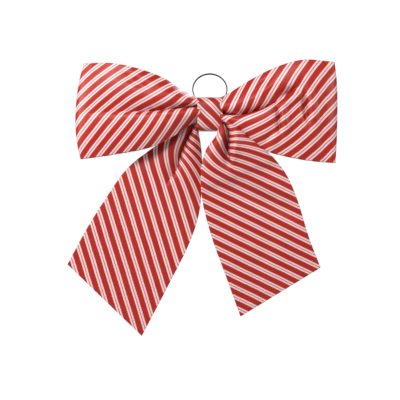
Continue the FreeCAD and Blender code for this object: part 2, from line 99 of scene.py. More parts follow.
def smooth_path(points, count=400):
    """A Catmull-Rom line through the points, resampled at even steps of its own length."""
    pts = np.asarray(points, float)
    ends = np.vstack([2 * pts[0] - pts[1], pts, 2 * pts[-1] - pts[-2]])
    knots = np.concatenate([[0], np.cumsum(np.sqrt(np.linalg.norm(np.diff(ends, axis=0), axis=1)))])
    line = []
    for i in range(1, len(ends) - 2):
        t0, t1, t2, t3 = knots[i - 1:i + 3]
        t = np.linspace(t1, t2, 60, endpoint=False)[:, None]
        p0, p1, p2, p3 = ends[i - 1:i + 3]
        a1 = (t1 - t) / (t1 - t0) * p0 + (t - t0) / (t1 - t0) * p1
        a2 = (t2 - t) / (t2 - t1) * p1 + (t - t1) / (t2 - t1) * p2
        a3 = (t3 - t) / (t3 - t2) * p2 + (t - t2) / (t3 - t2) * p3
        b1 = (t2 - t) / (t2 - t0) * a1 + (t - t0) / (t2 - t0) * a2
        b2 = (t3 - t) / (t3 - t1) * a2 + (t - t1) / (t3 - t1) * a3
        line.append((t2 - t) / (t2 - t1) * b1 + (t - t1) / (t2 - t1) * b2)
    line = np.vstack(line + [pts[-1:]])
    length = walked_length(line)
    even = np.linspace(0, length[-1], count)
    return np.column_stack([np.interp(even, length, line[:, k]) for k in range(pts.shape[1])])


def at(path, share):
    """Points of a path at shares of its length."""
    where = np.linspace(0, 1, len(path))
    return np.stack([np.interp(share, where, path[:, k]) for k in range(path.shape[1])], axis=-1)


def ease(x, low, high):
    """0 below low, 1 above high, smooth between."""
    x = np.clip((np.asarray(x, float) - low) / (high - low), 0, 1)
    return x * x * (3 - 2 * x)


# ---------------------------------------------------------------- pleated ribbon
def pleated_row(top, crease, bottom, depth_line, form, columns):
    """One cross-line of a ribbon from its first edge to its second, through a crease.

    The two half-widths bulge forward and the crease sinks until the whole line is as long as the
    ribbon is wide, or as deep as the form allows. In the form, "bulge" and "turn_back" say how far
    each half swells and its edge lies back, "mouths" how wide the crease is on each side of its
    line, and "deepest" how far it may sink.
    """
    fine = np.linspace(0, 1, 160) ** 2.0
    halves = []
    for edge in (top, bottom):
        span = edge - crease
        reach = np.linalg.norm(span)
        flat = crease[None, :] + span[None, :] * fine[:, None]
        puff = -form["bulge"] * np.sin(np.pi * fine ** 0.75)
        puff += form["turn_back"] * fine ** 3
        halves.append((flat, fine * reach, puff))

    def line_for(depth):
        rows = []
        for (flat, along, puff), mouth in zip(halves, form["mouths"]):
            groove = depth * np.exp(-(along / mouth) ** 1.5)
            rows.append(np.column_stack([flat[:, 0], depth_line + puff + groove, flat[:, 1]]))
        return rows

    def lengths(rows):
        return [walked_length(row) for row in rows]

    low, high = 0.0, form["deepest"]
    for _ in range(18):
        middle = (low + high) / 2
        total = sum(length[-1] for length in lengths(line_for(middle)))
        if total < RIBBON_WIDTH:
            low = middle
        else:
            high = middle
    rows = line_for(high)
    measured = lengths(rows)
    points = []
    for side, (row, length) in enumerate(zip(rows, measured)):
        wanted = np.linspace(0, 1, columns) * length[-1]
        spots = np.column_stack([np.interp(wanted, length, row[:, k]) for k in range(3)])
        points.append(spots[::-1] if side == 0 else spots[1:])
    return np.vstack(points)


def ribbon_grid(first, crease, second, shares, depths, forms, columns):
    """Rows of pleated cross-lines. The crease is given as (share along, share across) points."""
    middle = smooth_path(crease)
    rows = []
    for share, depth, form in zip(shares, depths, forms):
        start, end = at(first, share), at(second, share)
        over = np.interp(share, middle[:, 0], middle[:, 1])
        rows.append(pleated_row(start, start + (end - start) * over, end, depth, form, columns))
    return np.array(rows)


def from_edge(grid, edge):
    """Position along a folded edge, and distance from it, for each point of a grid seen flat."""
    reach = 60.0
    first, last = edge[0] - edge[3], edge[-1] - edge[-4]
    line = np.vstack([edge[0] + first / np.linalg.norm(first) * reach, edge,
                      edge[-1] + last / np.linalg.norm(last) * reach])
    step = np.diff(line, axis=0)
    length = np.linalg.norm(step, axis=1)
    start = np.concatenate([[0], np.cumsum(length)[:-1]]) - reach
    spots = grid[:, :, [0, 2]].reshape(-1, 2)
    along = np.zeros(len(spots))
    nearest = np.full(len(spots), 1e9)
    for origin, run, size, begin in zip(line[:-1], step, length, start):
        share = np.clip(((spots - origin) @ run) / size ** 2, 0, 1)
        gap = np.linalg.norm(spots - origin - share[:, None] * run, axis=1)
        closer = gap < nearest
        nearest[closer] = gap[closer]
        along[closer] = begin + share[closer] * size
    shape = grid.shape[:2]
    return along.reshape(shape), nearest.reshape(shape)


def hidden_length(grid):
    """How much longer each cross-line is than it looks from the front, counted from its edges."""
    step = np.diff(grid, axis=1)
    extra = np.linalg.norm(step, axis=2) - np.linalg.norm(step[:, :, [0, 2]], axis=2)
    from_first = np.concatenate([np.zeros((len(grid), 1)), np.cumsum(extra, axis=1)], axis=1)
    return HIDDEN_SHARE * from_first, HIDDEN_SHARE * (from_first[:, -1:] - from_first)


def eased_edge(path):
    """The edge without its small bends: a cubic in the share of its length."""
    share = np.linspace(0, 1, len(path))
    return np.column_stack([np.polyval(np.polyfit(share, path[:, k], 3), share) for k in range(2)])


def panel_mix(columns, soft):
    """0 in the first panel, 1 in the second; soft says how wide the change is."""
    place = np.linspace(-1, 1, 2 * columns - 1)[None, :]
    mixed = np.clip((place + soft) / (2 * soft), 0, 1)
    return mixed * mixed * (3 - 2 * mixed)


def joined_cloth(grid, edges, hidden, level, flat_along, closed, lay=()):
    """Cloth coordinates of two panels, each measured from its own folded edge.

    Where the crease is open, the cloth that doesn't show lies in it. Where it is closed, the two
    panels' coordinates meet at it, and the difference is spread over both.
    """
    crease = grid.shape[1] // 2
    parts = []
    for edge, extra, column in zip(edges, hidden, (0, -1)):
        along, gap = from_edge(grid, eased_edge(edge))
        along += np.mean(flat_along[level, column] - along[level, column])
        if lay:
            weight, straight_along, straight_gap = lay[len(parts)]
            along += (straight_along - along) * weight
            gap += (straight_gap - gap) * weight
        gap += extra
        parts.append((along, gap, np.maximum(gap[:, crease:crease + 1], 0.5)))
    (along_a, gap_a, width_a), (along_b, gap_b, width_b) = parts
    closed = closed[:, None]
    stretch = 1 + closed * (RIBBON_WIDTH - width_a - width_b) / (width_a + width_b)
    skew = closed * (along_a - along_b)[:, crease:crease + 1] / 2
    mix = panel_mix(crease + 1, PANEL_JOIN)
    along = (along_a - skew * gap_a / width_a) * (1 - mix) + (along_b + skew * gap_b / width_b) * mix
    across = (RIBBON_HALF - gap_a * stretch) * (1 - mix) + (gap_b * stretch - RIBBON_HALF) * mix
    return along, across


def joining(shares, opening):
    """How far the panels' coordinates have met; they meet while the crease is still deep."""
    low, high = opening
    return ease(shares, 0.6 * low, low + 0.5 * (high - low))


def smooth_grid(grid, passes):
    """Evens out a grid along both directions without moving its border."""
    for _ in range(passes):
        inner = grid[1:-1, 1:-1]
        around = (grid[:-2, 1:-1] + grid[2:, 1:-1] + grid[1:-1, :-2] + grid[1:-1, 2:]) / 4
        grid[1:-1, 1:-1] = inner * 0.5 + around * 0.5
    return grid


def grid_normals(grid):
    """Unit normals of a grid, on the ribbon's outer side."""
    down = np.gradient(grid, axis=0)
    across = np.gradient(grid, axis=1)
    normal = np.cross(down, across)
    return normal / np.maximum(np.linalg.norm(normal, axis=2, keepdims=True), 1e-9)


# ---------------------------------------------------------------- meshes
def mesh_object(name, vertices, faces):
    """A smooth mesh piece in metres from vertices in millimetres."""
    mesh = bpy.data.meshes.new(name)
    mesh.from_pydata([tuple(v) for v in np.asarray(vertices) * MM], [], faces)
    mesh.polygons.foreach_set("use_smooth", [True] * len(mesh.polygons))
    mesh.update()
    piece = bpy.data.objects.new(name, mesh)
    bpy.context.scene.collection.objects.link(piece)
    return piece


def ribbon_tube(name, grid, along, across, thickness, close_end=False):
    """A flattened ribbon tube round a grid: front skin, folded edge, back skin, folded edge.

    The cloth's own coordinates run on round the folded edges, so the stripes do too. The seam,
    where the two sides of the strip meet, runs along the middle of the back.
    """
    normal = grid_normals(grid)
    rows, columns = grid.shape[:2]
    half = np.full(rows, thickness / 2)
    if close_end:
        last = 4
        half[-last:] *= np.sqrt(1 - (np.arange(1, last + 1) / (last + 0.15)) ** 2)
    half = half[:, None, None]
    edge_steps = 4
    front = grid + normal * half
    back = grid - normal * half

    def folded_edge(index, inner):
        outward = grid[:, index] - grid[:, inner]
        outward /= np.maximum(np.linalg.norm(outward, axis=1, keepdims=True), 1e-9)
        arcs = []
        for step in range(1, edge_steps):
            angle = math.pi * step / edge_steps
            arcs.append(grid[:, index] + half[:, 0] * (
                normal[:, index] * math.cos(angle) + outward * math.sin(angle)))
        return arcs

    middle = columns // 2
    ring = [front[:, k] for k in range(columns)]
    ring_s = [along[:, k] for k in range(columns)]
    ring_t = [across[:, k] for k in range(columns)]
    for step, arc in enumerate(folded_edge(columns - 1, columns - 2), start=1):
        ring.append(arc)
        ring_s.append(along[:, -1])
        ring_t.append(across[:, -1] - thickness * 1.57 * step / edge_steps)
    fold = thickness * 1.57
    for k in range(columns - 1, middle - 1, -1):
        ring.append(back[:, k])
        ring_s.append(along[:, k])
        ring_t.append(2 * across[:, -1] - fold - across[:, k])
    seam = len(ring)
    for k in range(middle, -1, -1):
        ring.append(back[:, k])
        ring_s.append(along[:, k])
        ring_t.append(2 * across[:, 0] + fold - across[:, k])
    for step, arc in enumerate(folded_edge(0, 1)[::-1], start=1):
        ring.append(arc)
        ring_s.append(along[:, 0])
        ring_t.append(across[:, 0] + fold * (1 - step / edge_steps))
    ring = np.stack(ring, axis=1)
    uv = np.stack([np.stack(ring_s, axis=1), np.stack(ring_t, axis=1)], axis=-1)
    # the seam's two columns lie on each other, so the second is welded onto the first
    around = ring.shape[1]
    faces = []
    loop_uv = []

    def corner(i, k):
        return i * around + (seam - 1 if k == seam else k)

    for i in range(rows - 1):
        for k in range(around):
            after = (k + 1) % around
            if after == seam:
                continue
            faces.append((corner(i, k), corner(i + 1, k), corner(i + 1, after), corner(i, after)))
            loop_uv.extend((uv[i, k], uv[i + 1, k], uv[i + 1, after], uv[i, after]))
    for i in (0, rows - 1):
        cap = [corner(i, k) for k in range(around) if k != seam]
        faces.append(tuple(cap if i == 0 else cap[::-1]))
        loop_uv.extend(uv[i, k] for k in (range(around) if i == 0 else range(around - 1, -1, -1))
                       if k != seam)
    used = np.zeros(rows * around, dtype=bool)
    for face in faces:
        used[list(face)] = True
    renumber = np.cumsum(used) - 1
    vertices = ring.reshape(-1, 3)[used]
    faces = [tuple(int(renumber[v]) for v in face) for face in faces]
    piece = mesh_object(name, vertices, faces)
    layer = piece.data.uv_layers.new(name="Cloth")
    layer.data.foreach_set("uv", (np.array(loop_uv) * MM).ravel())
    return piece


# ---------------------------------------------------------------- node helpers
def new_material(name):
    """A node material, its tree and its shader."""
    material = bpy.data.materials.new(name)
    material.use_nodes = True
    tree = material.node_tree
    shader = tree.nodes["Principled BSDF"]
    return material, tree, shader


def math_node(tree, operation, first, second=None, third=None, clamp=False):
    """A Math node whose inputs are numbers or other nodes' outputs."""
    node = tree.nodes.new("ShaderNodeMath")
    node.operation = operation
    node.use_clamp = clamp
    for socket, value in zip(node.inputs, (first, second, third)):
        if value is None:
            continue
        if isinstance(value, (int, float)):
            socket.default_value = value
        else:
            tree.links.new(value, socket)
    return node.outputs[0]


def mix_colour(tree, factor, first, second, mode="MIX"):
    """A colour between two others, each given as a colour or a node's output."""
    node = tree.nodes.new("ShaderNodeMix")
    node.data_type = "RGBA"
    node.blend_type = mode
    for socket, value in ((node.inputs[0], factor), (node.inputs[6], first), (node.inputs[7], second)):
        if isinstance(value, (int, float, tuple)):
            socket.default_value = value
        else:
            tree.links.new(value, socket)
    return node.outputs[2]


def noise_node(tree, vector, scale, detail=2.0, rough=0.5):
    """Fractal noise between 0 and 1."""
    node = tree.nodes.new("ShaderNodeTexNoise")
    node.inputs["Scale"].default_value = scale
    node.inputs["Detail"].default_value = detail
    node.inputs["Roughness"].default_value = rough
    tree.links.new(vector, node.inputs["Vector"])
    return node.outputs["Fac"]


def step_between(tree, value, low, high, soft):
    """1 where value is between low and high, with soft shoulders."""
    up = tree.nodes.new("ShaderNodeMapRange")
    up.interpolation_type = "SMOOTHSTEP"
    tree.links.new(value, up.inputs["Value"])
    up.inputs["From Min"].default_value = low - soft
    up.inputs["From Max"].default_value = low + soft
    down = tree.nodes.new("ShaderNodeMapRange")
    down.interpolation_type = "SMOOTHSTEP"
    tree.links.new(value, down.inputs["Value"])
    down.inputs["From Min"].default_value = high - soft
    down.inputs["From Max"].default_value = high + soft
    down.inputs["To Min"].default_value = 1.0
    down.inputs["To Max"].default_value = 0.0
    return math_node(tree, "MULTIPLY", up.outputs[0], down.outputs[0])


# the satin's pattern: shares of the stripe's period, and weave pitches in millimetres
PALE_BAND = (0.288, 0.712)
PALE_EDGE = 0.03
GREY_LINE = (0.456, 0.544)
LINE_EDGE = 0.02
LINE_STRENGTH = 0.85
TWILL_PITCH = 0.55
YARN_PITCH = 0.40
RED = (0.46, 0.016, 0.008, 1)
RED_DEEP = (0.36, 0.010, 0.005, 1)
WHITE = (0.94, 0.60, 0.585, 1)
GREY = (0.22, 0.11, 0.12, 1)


def striped_satin(name, direction, offset, period=STRIPE_PERIOD, painted_shade_tone=1.0):
    """Red satin with a pair of white stripes and a fine grey line in every period.

    The pattern lies at 45 degrees to the ribbon, in the cloth's own coordinates in metres. The
    cloth is woven as a fine twill whose ribs run across the stripes' yarns. A tone under 1 darkens it
    all, as painted shade.
    """
    material, tree, shader = new_material(name)
    uv = tree.nodes.new("ShaderNodeUVMap")
    uv.uv_map = "Cloth"
    split = tree.nodes.new("ShaderNodeSeparateXYZ")
    tree.links.new(uv.outputs[0], split.inputs[0])
    s, t = split.outputs[0], split.outputs[1]
    signed = math_node(tree, "MULTIPLY", t, float(direction))
    slant = math_node(tree, "ADD", s, signed)
    wobble = noise_node(tree, uv.outputs[0], 60.0, 1.0)
    wobble = math_node(tree, "MULTIPLY_ADD", wobble, 0.0006, -0.0003)
    slant = math_node(tree, "ADD", slant, wobble)
    phase = math_node(tree, "MULTIPLY_ADD", slant, 1 / (math.sqrt(2) * period * MM), offset)
    phase = math_node(tree, "FRACT", phase)
    pale = step_between(tree, phase, *PALE_BAND, PALE_EDGE)
    line = step_between(tree, phase, *GREY_LINE, LINE_EDGE)

    cross = math_node(tree, "SUBTRACT", s, signed)
    twill = math_node(tree, "MULTIPLY", cross, 2 * math.pi / (TWILL_PITCH * MM))
    twill = math_node(tree, "SINE", twill)
    yarn = math_node(tree, "MULTIPLY", s, 2 * math.pi / (YARN_PITCH * MM))
    yarn = math_node(tree, "SINE", yarn)
    patches = noise_node(tree, uv.outputs[0], 45.0, 3.0)

    red = mix_colour(tree, math_node(tree, "MULTIPLY_ADD", patches, 1.2, -0.35, clamp=True),
                     RED, RED_DEEP)
    colour = mix_colour(tree, pale, red, WHITE)
    colour = mix_colour(tree, math_node(tree, "MULTIPLY", line, LINE_STRENGTH), colour, GREY)
    # the twill's ribs, times the tone: a tone under 1 is painted shade over the whole colour
    twill_and_painted_shade = math_node(tree, "MULTIPLY_ADD", twill, 0.05 * painted_shade_tone, 0.95 * painted_shade_tone)
    shade = tree.nodes.new("ShaderNodeCombineColor")
    for socket in shade.inputs[:3]:
        tree.links.new(twill_and_painted_shade, socket)
    colour = mix_colour(tree, 1.0, colour, shade.outputs[0], "MULTIPLY")
    tree.links.new(colour, shader.inputs["Base Color"])

    rough = math_node(tree, "MULTIPLY_ADD", patches, 0.14, 0.36)
    tree.links.new(rough, shader.inputs["Roughness"])
    shader.inputs["Sheen Weight"].default_value = 0.03
    shader.inputs["Sheen Roughness"].default_value = 0.4
    shader.inputs["Specular IOR Level"].default_value = 0.36
    height = math_node(tree, "MULTIPLY_ADD", twill, 0.6, math_node(tree, "MULTIPLY", yarn, 0.4))
    bump = tree.nodes.new("ShaderNodeBump")
    bump.inputs["Strength"].default_value = 0.25
    bump.inputs["Distance"].default_value = 0.00006
    tree.links.new(height, bump.inputs["Height"])
    tree.links.new(bump.outputs[0], shader.inputs["Normal"])
    return material


def plain_cloth(name, colour, deep, scale, bump_depth, rough):
    """Felt, thread and plain ribbon: fibres in object space."""
    material, tree, shader = new_material(name)
    place = tree.nodes.new("ShaderNodeTexCoord").outputs["Object"]
    fibres = noise_node(tree, place, scale, 4.0, 0.7)
    tree.links.new(mix_colour(tree, fibres, colour, deep), shader.inputs["Base Color"])
    shader.inputs["Roughness"].default_value = rough
    shader.inputs["Sheen Weight"].default_value = 0.4
    bump = tree.nodes.new("ShaderNodeBump")
    bump.inputs["Strength"].default_value = 0.6
    bump.inputs["Distance"].default_value = bump_depth
    tree.links.new(fibres, bump.inputs["Height"])
    tree.links.new(bump.outputs[0], shader.inputs["Normal"])
    return material


def metal(name, colour, rough, brush):
    """Drawn or plated steel with faint scratches."""
    material, tree, shader = new_material(name)
    place = tree.nodes.new("ShaderNodeTexCoord").outputs["Object"]
    stretch = tree.nodes.new("ShaderNodeMapping")
    stretch.inputs["Scale"].default_value = brush
    tree.links.new(place, stretch.inputs["Vector"])
    scratches = noise_node(tree, stretch.outputs[0], 900.0, 3.0, 0.6)
    smudge = noise_node(tree, place, 120.0, 2.0)
    shader.inputs["Metallic"].default_value = 1.0
    dark = tuple(c * 0.75 for c in colour[:3]) + (1,)
    tree.links.new(mix_colour(tree, smudge, colour, dark), shader.inputs["Base Color"])
    tree.links.new(math_node(tree, "MULTIPLY_ADD", scratches, 0.16, rough), shader.inputs["Roughness"])
    bump = tree.nodes.new("ShaderNodeBump")
    bump.inputs["Strength"].default_value = 0.15
    bump.inputs["Distance"].default_value = 0.00004
    tree.links.new(scratches, bump.inputs["Height"])
    tree.links.new(bump.outputs[0], shader.inputs["Normal"])
    return material


# ---------------------------------------------------------------- loops
# a loop's grid: rows along its length, columns across the ribbon
LOOP_ROWS = 150
LOOP_COLUMNS = 64

# Edges are X-Z points seen from the front; creases are (share along, share across) points.
# "opening" says over which shares of the reach the crease closes, "lay" how far the stripes
# follow a straight line from the corner and its tilt in degrees, and "dents" are as in press_dents.
LEFT_LOOP = {
    "top": [(-8.0, 12.4), (-20, 17.4), (-36, 27.6), (-56, 35.0), (-79, 39.5), (-99.3, 39.4)],
    "crease": [(0, 0.42), (0.12, 0.44), (0.3, 0.5), (0.6, 0.53), (0.85, 0.54), (1, 0.53)],
    "bottom": [(-8.0, -4.5), (-16, -8), (-30, -17.4), (-47.4, -25.8), (-74, -31.2), (-101.9, -35.3)],
    "opening": (0.35, 1.0),
    "lay": ((0.85, 6.0), (0.9, -11.0)),
    "belly": 5.2,
    "dents": [(-58, 24, 3.0, 16, 1.6, 62), (-34, -4, 3.0, 9, 1.0, 80), (-80, 8, 4.0, 14, 0.8, 20)],
}
RIGHT_LOOP = {
    "top": [(8.0, 12.6), (15, 16.2), (33, 27.0), (52, 36.2), (73, 42.0), (98.0, 40.8)],
    "crease": [(0, 0.62), (0.15, 0.6), (0.4, 0.47), (0.6, 0.37), (0.75, 0.33), (1, 0.36)],
    "bottom": [(8.0, -6.5), (24, -17.0), (43.5, -28.2), (60, -33.0), (80, -36.6), (98.7, -38.3)],
    "opening": (0.3, 0.76),
    "lay": ((0.35, 0.0), (0.6, -10.0)),
    "belly": 2.0,
    "dents": [(75, 4, 2.6, 12, 6.4, 8), (54, -5, 2.0, 10, 5.6, 6), (61, 17, 3.0, 9, 6.0, -62),
              (46, -18, 3.0, 9, 2.0, -35), (88, -20, 4.0, 14, 1.6, 12), (40, 22, 2.2, 9, 2.0, -50)],
}
# a loop seen from above: share of its reach, and depth in Y
LOOP_PLAN = [(0.0, -12.5), (0.12, -15.5), (0.35, -20.0), (0.6, -22.3), (0.8, -21.6), (0.93, -18.8),
             (0.985, -15.6), (1.0, -12.6), (0.985, -9.8), (0.93, -7.6), (0.8, -6.6), (0.5, -6.4),
             (0.2, -7.2), (0.0, -8.6)]
LOOP_REACH = 95.0
LOOP_GATHERED = (0.05, 0.75)    # shares of the reach over which the gathers run out
LOOP_BULGE, GATHER_BULGE = 0.5, 4.2
LOOP_TURN, GATHER_TURN = 4.6, 1.6
LOOP_CREASE = 6.0
REAR_FORM = 0.35                # how much of the front's form the rear panel has
FLATTEST = 0.01                 # a closed crease's depth


def press_dents(grid, dents, strength):
    """Presses soft dents into the cloth: place x z, half-width, half-length, depth, lean."""
    for x, z, half_width, half_length, depth, lean in dents:
        turn = math.radians(lean)
        across = (grid[:, :, 0] - x) * math.cos(turn) + (grid[:, :, 2] - z) * math.sin(turn)
        along = (grid[:, :, 2] - z) * math.cos(turn) - (grid[:, :, 0] - x) * math.sin(turn)
        shape = np.exp(-(across / half_width) ** 2 - (along / half_length) ** 2)
        ridge = np.exp(-((across - 2.2 * half_width) / half_width) ** 2 - (along / half_length) ** 2)
        grid[:, :, 1] += strength[:, None] * depth * (shape - 0.5 * ridge)


def loop_piece(name, side, shape, material):
    """One loop: out along the front, round the fold, back behind, as one flattened ribbon tube."""
    plan = smooth_path([(share * LOOP_REACH, depth) for share, depth in LOOP_PLAN], LOOP_ROWS)
    shares = np.clip(plan[:, 0] / LOOP_REACH, 0, 1)
    turn = int(np.argmax(shares))
    is_front = np.arange(LOOP_ROWS) <= turn
    forms = []
    for share, in_front in zip(shares, is_front):
        front = 1.0 if in_front else REAR_FORM
        gather = 1 - ease(share, *LOOP_GATHERED)
        opening = 1 - ease(share, *shape["opening"])
        forms.append({
            "bulge": front * (LOOP_BULGE + GATHER_BULGE * gather) * (1 - ease(share, 0.9, 1.0)),
            "turn_back": front * (LOOP_TURN + GATHER_TURN * gather) * (1 - ease(share, 0.93, 1.0)),
            "mouths": (2.6 + 5.0 * share, 0.9 + 1.2 * share),
            "deepest": front * LOOP_CREASE * opening + FLATTEST,
        })
    top, bottom = smooth_path(shape["top"]), smooth_path(shape["bottom"])
    grid = ribbon_grid(top, shape["crease"], bottom, shares, plan[:, 1], forms, LOOP_COLUMNS)
    grid = smooth_grid(grid, 2)
    over = np.linspace(-1, 1, grid.shape[1])
    belly = ease(shares, 0.55, 1.0)[:, None] * (1 - np.abs(over) ** 2.2)[None, :]
    grid[:, :, 0] += side * shape["belly"] * belly
    hidden = hidden_length(grid)
    press_dents(grid, shape["dents"], is_front * (1 - ease(shares, 0.93, 0.99)))

    walked = walked_length(plan)
    unseen = np.abs(walked - walked[turn]) - np.abs(plan[:, 0] - plan[turn, 0])
    facing = np.where(is_front, 1.0, -1.0)[:, None]
    reach = side * grid[:, :, 0] - abs(top[-1][0])
    lay = []
    for (weight, tilt), corner, sign in zip(shape["lay"], (top[-1], bottom[-1]), (1, -1)):
        turned = math.radians(tilt)
        out, rise = side * (grid[:, :, 0] - corner[0]), grid[:, :, 2] - corner[1]
        gap = sign * (out * math.sin(turned) - rise * math.cos(turned))
        lay.append((weight, out * math.cos(turned) + rise * math.sin(turned), gap))
    outward, across = joined_cloth(grid, (top, bottom), hidden, shares > 0.9, reach,
                                   joining(shares, shape["opening"]), lay)
    along = facing * (outward - unseen[:, None])
    if side > 0:
        grid = grid[:, ::-1]
        along = along[:, ::-1]
        across = across[:, ::-1]
    piece = ribbon_tube(name, grid, along, across, CLOTH)
    piece.data.materials.append(material)
    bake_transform(piece)
    return piece


left_satin = striped_satin("SatinLoopLeft", 1, 0.48)
right_satin = striped_satin("SatinLoopRight", -1, 0.2)
loop_left = loop_piece("LoopLeftRibbon", -1, LEFT_LOOP, left_satin)
loop_right = loop_piece("LoopRightRibbon", 1, RIGHT_LOOP, right_satin)
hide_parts("loop_left", "loop_left_interlining")
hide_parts("loop_right", "loop_right_interlining")

# ---------------------------------------------------------------- tails
TAIL_ROWS = 170
TAIL_COLUMNS = 60
TAIL_GATHERED = (0.05, 0.5)
TAIL_BULGE = 3.6
TAIL_TURN = 2.8

# As for the loops, with the depth in Y along the tail, the strip's lean from straight down in
# degrees, and the shares over which the stripes become straight ("flat").
LEFT_TAIL = {
    "left": [(-7, -2), (-25, -14), (-46, -27.5), (-66, -44), (-83, -68), (-98, -92),
             (-112.8, -119.4)],
    "crease": [(0, 0.5), (0.1, 0.42), (0.2, 0.46), (0.3, 0.52), (0.36, 0.5), (0.5, 0.48), (1, 0.5)],
    "right": [(-9, -2), (-9.8, -10), (-7.3, -27), (-6.7, -46), (-8.7, -76), (-15.8, -99.5),
              (-33, -134.5), (-54.5, -175.6)],
    "depth": [(0, -7.0), (0.12, -4.6), (0.3, -4.2), (0.6, -4.6), (1.0, -4.0)],
    "lean": -28.0,
    "flat": (0.0, 0.42),
    "opening": (0.24, 0.42),
    "deepest": 8.0,
    "mouths": (6.0, 0.9),
    "dents": [(-62, -92, 5, 26, 0.7, 30), (-30, -108, 6, 22, 0.6, 20)],
}
RIGHT_TAIL = {
    "left": [(8.0, -5), (5.5, -16.5), (-2.5, -28), (-6.5, -43), (-5.9, -66), (1.5, -96),
             (13.0, -128), (24.6, -160.0)],
    "crease": [(0, 0.5), (0.06, 0.55), (0.12, 0.56), (0.2, 0.5), (0.28, 0.47), (0.45, 0.48), (1, 0.5)],
    "right": [(11.5, -5), (19.5, -6.3), (35.6, -22.9), (49, -34), (60.5, -49), (69, -69),
              (78, -98), (87.2, -121.8)],
    "depth": [(0, -13.5), (0.08, -17.0), (0.2, -18.0), (0.33, -15.0), (0.5, -10.5), (1.0, -8.5)],
    "lean": 19.0,
    "flat": (-0.2, 0.5),
    "opening": (0.19, 0.33),
    "deepest": 11.0,
    "mouths": (6.5, 0.9),
    "dents": [(47, -70, 6, 20, 3.4, 60), (15, -26, 2.4, 11, 4.4, -12), (22, -60, 5, 16, 1.4, 50),
              (42, -112, 6, 24, 0.6, -15)],
}


def straight_cloth(grid, lean):
    """Cloth coordinates of a flat ribbon whose length leans from straight down towards +X."""
    lean = math.radians(lean)
    along = grid[:, :, 0] * math.sin(lean) - grid[:, :, 2] * math.cos(lean)
    across = -grid[:, :, 0] * math.cos(lean) - grid[:, :, 2] * math.sin(lean)
    return along, across


def tail_piece(name, shape, material):
    """One tail from the knot to its slanted end."""
    shares = np.concatenate([np.linspace(0, 1, TAIL_ROWS - 4) * 0.997, [0.9982, 0.9990, 0.9996, 1.0]])
    depth_line = smooth_path(shape["depth"])
    depths = np.interp(shares, depth_line[:, 0], depth_line[:, 1])
    forms = []
    for share in shares:
        gather = 1 - ease(share, *TAIL_GATHERED)
        forms.append({
            "bulge": TAIL_BULGE * gather,
            "turn_back": TAIL_TURN * gather,
            "mouths": (shape["mouths"][0] * (0.3 + 0.7 * float(ease(share, 0, 0.2))),
                       shape["mouths"][1]),
            "deepest": shape["deepest"] * (1 - ease(share, *shape["opening"])) + FLATTEST,
        })
    left, right = smooth_path(shape["left"]), smooth_path(shape["right"])
    grid = ribbon_grid(left, shape["crease"], right, shares, depths, forms, TAIL_COLUMNS)
    grid = smooth_grid(grid, 2)
    hidden = hidden_length(grid)
    press_dents(grid, shape["dents"], 1 - ease(shares, 0.93, 0.99))

    flat_along, flat_across = straight_cloth(grid, shape["lean"])
    level = shares > 0.6
    flat_across -= np.mean(flat_across[level][:, [0, -1]])
    along, across = joined_cloth(grid, (left, right), hidden, level, flat_along,
                                 joining(shares, shape["opening"]))
    flat = ease(shares, *shape["flat"])[:, None]
    along += (flat_along - along) * flat
    across += (flat_across - across) * flat
    piece = ribbon_tube(name, grid, along, -across, CLOTH, close_end=True)
    piece.data.materials.append(material)
    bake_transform(piece)
    return piece


# painted shade: the tails' satin is drawn a little darker than the loops' by its tone
tail_satin_left = striped_satin("SatinTailLeft", -1, 0.38, painted_shade_tone=0.95)
tail_satin_right = striped_satin("SatinTailRight", -1, 0.0, RIGHT_TAIL_PERIOD, painted_shade_tone=0.93)
tail_left = tail_piece("TailLeftRibbon", LEFT_TAIL, tail_satin_left)
tail_right = tail_piece("TailRightRibbon", RIGHT_TAIL, tail_satin_right)
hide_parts("tail_left", "tail_left_interlining")
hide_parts("tail_right", "tail_right_interlining")


# ---------------------------------------------------------------- knot
def knot_piece():
    """The ribbon wrapped round the waist: a rounded flat tube, a little fuller in front."""
    ring = 120
    columns = 40
    rear, front = 1.0, -15.9
    middle = (rear + front) / 2
    half_depth = (rear - front) / 2
    half_height = KNOT_HEIGHT - 0.45
    half_width = KNOT_HALF - 0.7
    squareness = 0.62           # 1 is an ellipse, 0 a rectangle
    rows = []
    for angle in np.linspace(-math.pi, math.pi, ring + 1):
        c, s = math.cos(angle), math.sin(angle)
        y = middle - half_depth * math.copysign(abs(c) ** squareness, c)
        z = half_height * math.copysign(abs(s) ** squareness, s)
        row = []
        for x in np.linspace(-1, 1, columns):
            swell = 0.5 * (1 - x * x) + 0.25 * math.sin(5 * x + 1.5 * s)
            pinch = 0.7 * ease(abs(s), 0.4, 1.0) * ease(-s, 0, 1)
            wide = half_width - (pinch if x < 0 else 0.3 * pinch)
            row.append((x * wide, y - swell * max(c, 0), z))
        rows.append(row)
    grid = np.array(rows)[::-1]
    steps = np.linalg.norm(np.diff(grid, axis=0), axis=2)
    along = np.vstack([np.zeros((1, columns)), np.cumsum(steps, axis=0)])
    across = np.tile(np.linspace(-half_width, half_width, columns), (ring + 1, 1))
    return ribbon_tube("KnotRibbon", grid, along, across, KNOT_CLOTH)


# painted shade: the knot's satin is drawn darker than the loops' by its tone of 0.84
knot_satin = striped_satin("SatinKnot", -1, 0.91, painted_shade_tone=0.84)
knot = knot_piece()
knot.data.materials.append(knot_satin)
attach(knot, "bow")
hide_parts("knot_band", "knot_interlining")


# ---------------------------------------------------------------- gathers under the knot
def meander(count, folds, swing):
    """A line folded back and forth, one unit wide, whose slope swings like a river's."""
    share = (np.arange(count) + 0.5) / count
    angle = swing * np.sin(2 * math.pi * folds * share)
    line = np.cumsum(np.column_stack([np.cos(angle), np.sin(angle)]), axis=0)
    line -= line.mean(axis=0)
    return line / (line[-1, 0] - line[0, 0], np.abs(line[:, 1]).max())


